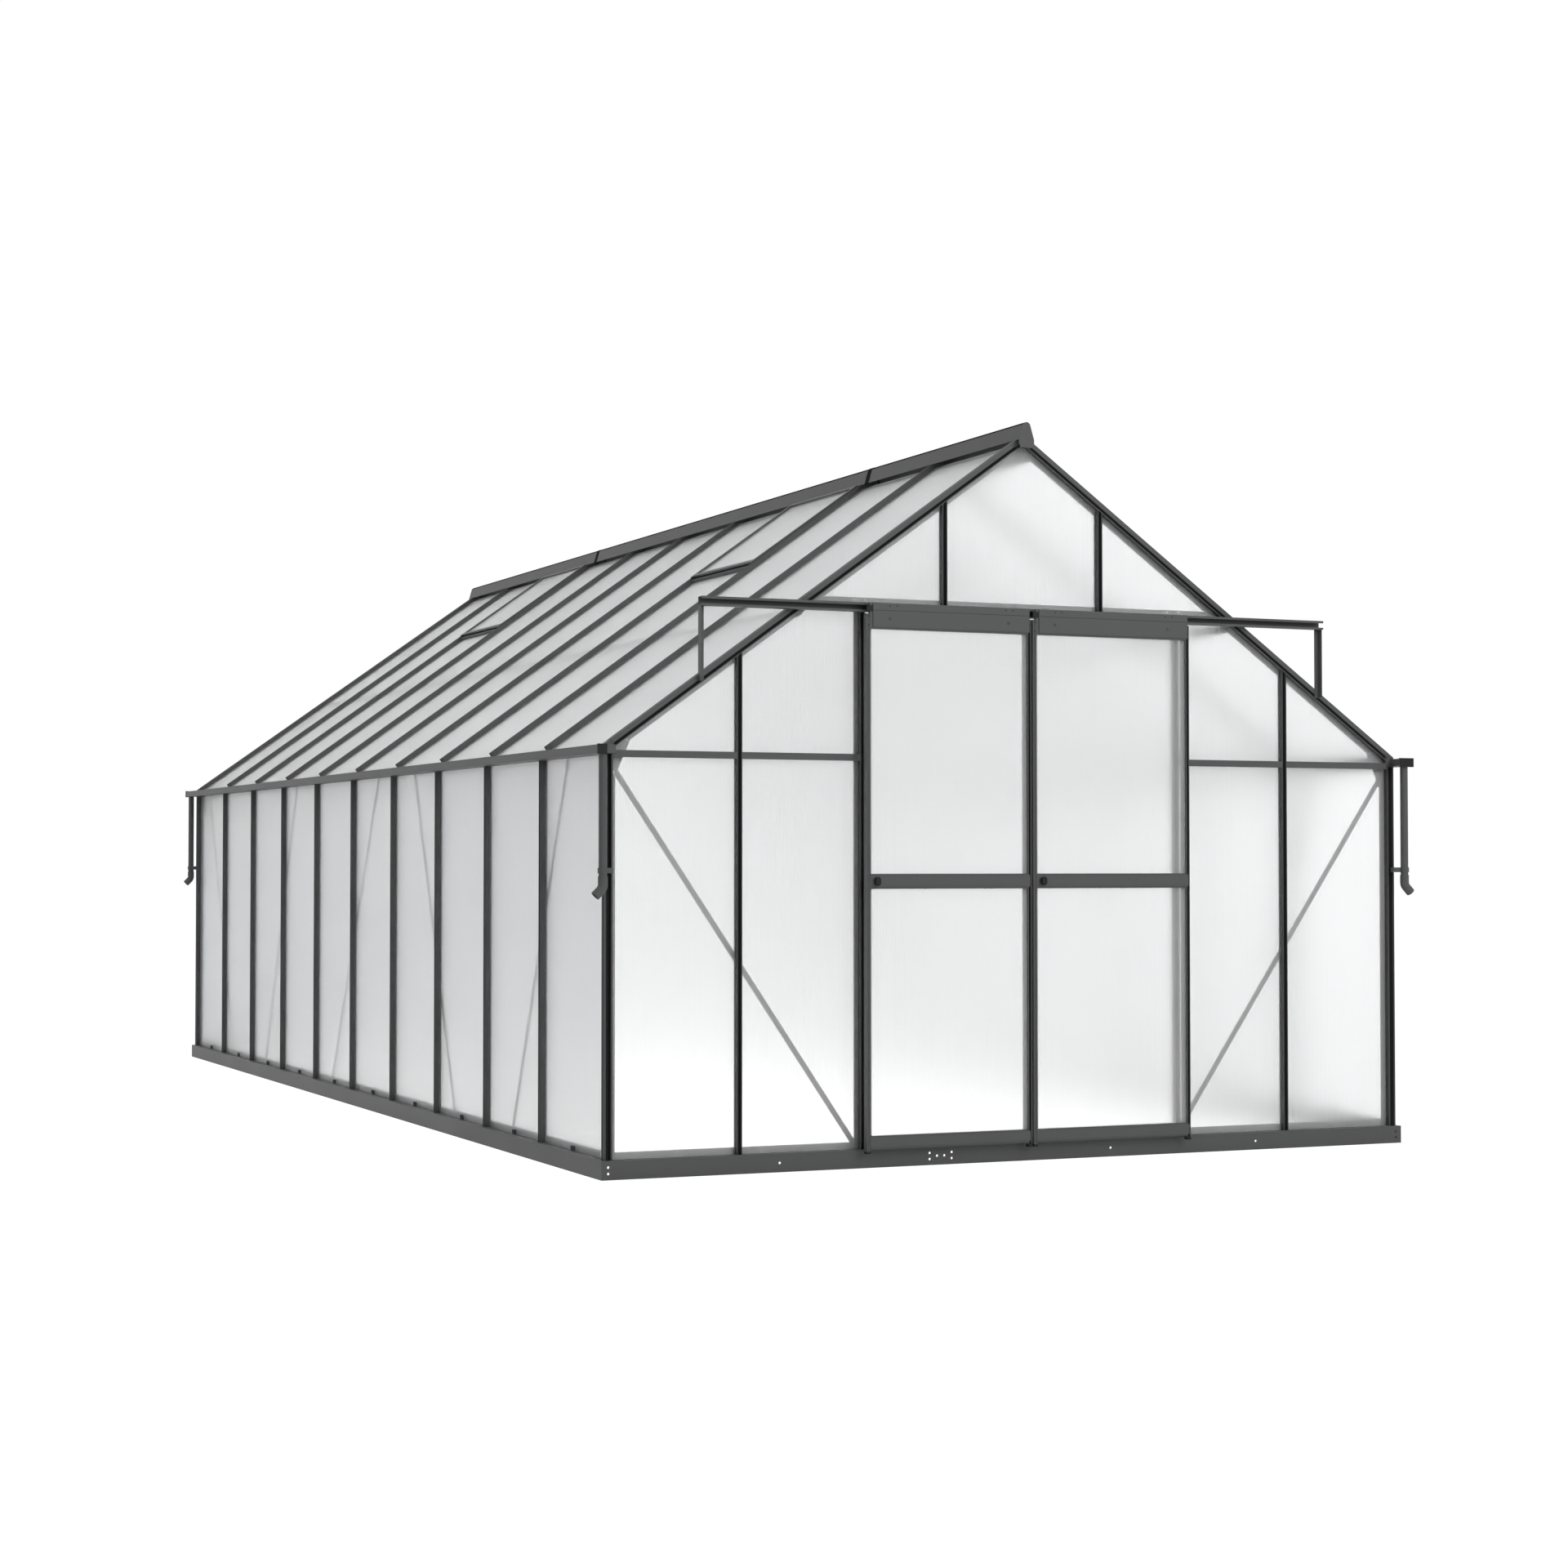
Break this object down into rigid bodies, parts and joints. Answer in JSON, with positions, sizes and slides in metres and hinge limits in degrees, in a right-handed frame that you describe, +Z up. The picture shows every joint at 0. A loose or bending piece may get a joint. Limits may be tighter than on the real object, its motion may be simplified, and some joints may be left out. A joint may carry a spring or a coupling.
{
  "type": "polycarbonate greenhouse",
  "caption": "Ridge-roofed greenhouse with a slotted metal frame, translucent twin-wall panels, gutters with downpipes, roof vents and sliding double doors.",
  "frame": {"origin": "on the ground under the middle of the whole building", "axes": "+Z up, the doors face -Y, +X to the right seen from the front"},
  "size_m": [3.0926, 6.2902, 2.4699],
  "materials": {
    "frame": "charcoal grey powder coat, satin",
    "panel": "translucent twin-wall polycarbonate with fine flutes",
    "fittings": "black moulded plastic"
  },
  "bodies": {
    "building": {"base_front": "frame", "base_back": "frame", "base_sides": "frame", "corner_posts": "frame", "left_wall_studs": "frame", "right_wall_studs": "frame", "front_gable_studs": "frame", "door_posts": "frame", "back_gable_studs": "frame", "gable_rails": "frame", "door_lintel": "frame", "gable_rafters": "frame", "left_roof_bars": "frame", "right_roof_bars": "frame", "ridge_beam": "frame", "ridge_caps": "frame", "ridge_joiners": "fittings", "ridge_end_caps": "frame", "roof_purlins": "frame", "left_gutter": "frame", "right_gutter": "frame", "downpipes": "frame", "downpipe_elbows": "frame", "downpipe_clips": "frame", "wind_braces": "frame", "gusset_plates": "frame", "panel_clips": "fittings", "left_wall_panels": "panel", "right_wall_panels": "panel", "front_gable_panels": "panel", "back_gable_panels": "panel", "left_roof_panels": "panel", "right_roof_panels": "panel", "vent_frames": "frame", "vent_panels": "panel", "door_track": "frame", "track_brackets": "frame"},
    "left_door": {"left_door_stiles": "frame", "left_door_rails": "frame", "left_door_panels": "panel", "left_door_rollers": "fittings", "left_door_knob": "fittings"},
    "right_door": {"right_door_stiles": "frame", "right_door_rails": "frame", "right_door_panels": "panel", "right_door_rollers": "fittings", "right_door_knob": "fittings"}
  },
  "joints": [
    {"name": "left_door_slide", "type": "slide", "parent": "building", "child": "left_door", "axis": [-1, 0, 0], "range_m": [0, 0.56]},
    {"name": "right_door_slide", "type": "slide", "parent": "building", "child": "right_door", "axis": [1, 0, 0], "range_m": [0, 0.56]}
  ]
}
